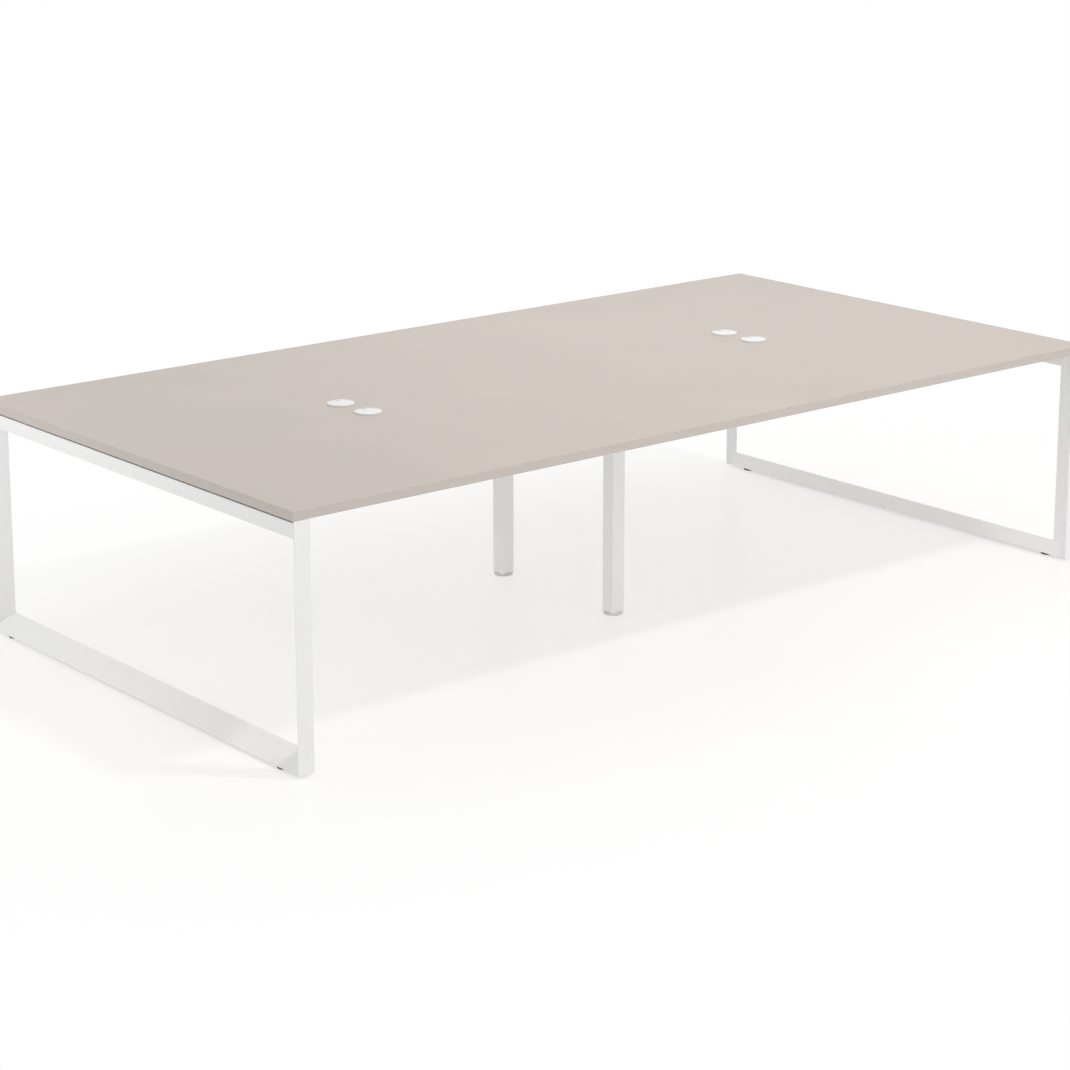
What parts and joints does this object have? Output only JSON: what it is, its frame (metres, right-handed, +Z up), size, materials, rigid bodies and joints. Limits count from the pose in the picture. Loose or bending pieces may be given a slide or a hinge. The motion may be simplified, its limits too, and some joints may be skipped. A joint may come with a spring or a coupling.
{
  "type": "meeting table",
  "caption": "Rectangular meeting table with a taupe laminate top on white mitred loop frames, slim centre legs and round cable outlets with turning lids.",
  "frame": {"origin": "on the floor under the middle of the table top", "axes": "+X along the length, +Y across the table to the rear edge, +Z up"},
  "size_m": [3.2, 1.65, 0.7449],
  "materials": {
    "taupe_laminate": "matt taupe laminate on chipboard",
    "taupe_edge": "matt taupe edge band",
    "white_steel": "satin white powder coat",
    "white_plastic": "satin white moulded plastic",
    "black_plastic": "matt black moulded plastic",
    "grey_plastic": "matt grey moulded plastic",
    "zinc_steel": "zinc-plated steel"
  },
  "bodies": {
    "table": {"beam_bolts": "zinc_steel", "beam_end_plates": "white_steel", "beam_nuts": "zinc_steel", "centre_front_foot_bush": "black_plastic", "centre_front_head_plate": "white_steel", "centre_front_leg": "white_steel", "centre_leg_bolts": "zinc_steel", "centre_leg_nuts": "zinc_steel", "centre_rear_foot_bush": "black_plastic", "centre_rear_head_plate": "white_steel", "centre_rear_leg": "white_steel", "cross_beam": "white_steel", "cross_beam_caps": "white_plastic", "foot_nuts": "zinc_steel", "left_board": "taupe_laminate", "left_bottom_rail": "white_steel", "left_end_band": "taupe_edge", "left_front_band": "taupe_edge", "left_front_beam": "white_steel", "left_front_leg": "white_steel", "left_rear_band": "taupe_edge", "left_rear_beam": "white_steel", "left_rear_leg": "white_steel", "left_top_rail": "white_steel", "outlet_sleeves": "white_plastic", "rail_spacers": "black_plastic", "right_board": "taupe_laminate", "right_bottom_rail": "white_steel", "right_end_band": "taupe_edge", "right_front_band": "taupe_edge", "right_front_beam": "white_steel", "right_front_leg": "white_steel", "right_rear_band": "taupe_edge", "right_rear_beam": "white_steel", "right_rear_leg": "white_steel", "right_top_rail": "white_steel", "top_screws": "zinc_steel"},
    "left_front_foot": {"left_front_foot_pad": "black_plastic", "left_front_foot_stud": "zinc_steel"},
    "left_rear_foot": {"left_rear_foot_pad": "black_plastic", "left_rear_foot_stud": "zinc_steel"},
    "right_front_foot": {"right_front_foot_pad": "black_plastic", "right_front_foot_stud": "zinc_steel"},
    "right_rear_foot": {"right_rear_foot_pad": "black_plastic", "right_rear_foot_stud": "zinc_steel"},
    "centre_front_foot": {"centre_front_foot_pad": "grey_plastic", "centre_front_foot_stud": "zinc_steel"},
    "centre_rear_foot": {"centre_rear_foot_pad": "grey_plastic", "centre_rear_foot_stud": "zinc_steel"},
    "left_front_lid": {"left_front_outlet_lid": "white_plastic"},
    "left_rear_lid": {"left_rear_outlet_lid": "white_plastic"},
    "right_front_lid": {"right_front_outlet_lid": "white_plastic"},
    "right_rear_lid": {"right_rear_outlet_lid": "white_plastic"}
  },
  "joints": [
    {"name": "left_front_foot_adjust", "type": "slide", "parent": "table", "child": "left_front_foot", "axis": [0, 0, 1], "range_m": [-0.008, 0]},
    {"name": "left_rear_foot_adjust", "type": "slide", "parent": "table", "child": "left_rear_foot", "axis": [0, 0, 1], "range_m": [-0.008, 0]},
    {"name": "right_front_foot_adjust", "type": "slide", "parent": "table", "child": "right_front_foot", "axis": [0, 0, 1], "range_m": [-0.008, 0]},
    {"name": "right_rear_foot_adjust", "type": "slide", "parent": "table", "child": "right_rear_foot", "axis": [0, 0, 1], "range_m": [-0.008, 0]},
    {"name": "centre_front_foot_adjust", "type": "slide", "parent": "table", "child": "centre_front_foot", "axis": [0, 0, 1], "range_m": [-0.008, 0]},
    {"name": "centre_rear_foot_adjust", "type": "slide", "parent": "table", "child": "centre_rear_foot", "axis": [0, 0, 1], "range_m": [-0.008, 0]},
    {"name": "left_front_lid_turn", "type": "hinge", "parent": "table", "child": "left_front_lid", "pos_m": [-0.8, -0.07, 0.74], "axis": [0, 0, 1], "range_deg": [0, 180]},
    {"name": "left_rear_lid_turn", "type": "hinge", "parent": "table", "child": "left_rear_lid", "pos_m": [-0.8, 0.07, 0.74], "axis": [0, 0, 1], "range_deg": [0, 180]},
    {"name": "right_front_lid_turn", "type": "hinge", "parent": "table", "child": "right_front_lid", "pos_m": [0.8, -0.07, 0.74], "axis": [0, 0, 1], "range_deg": [0, 180]},
    {"name": "right_rear_lid_turn", "type": "hinge", "parent": "table", "child": "right_rear_lid", "pos_m": [0.8, 0.07, 0.74], "axis": [0, 0, 1], "range_deg": [0, 180]}
  ]
}
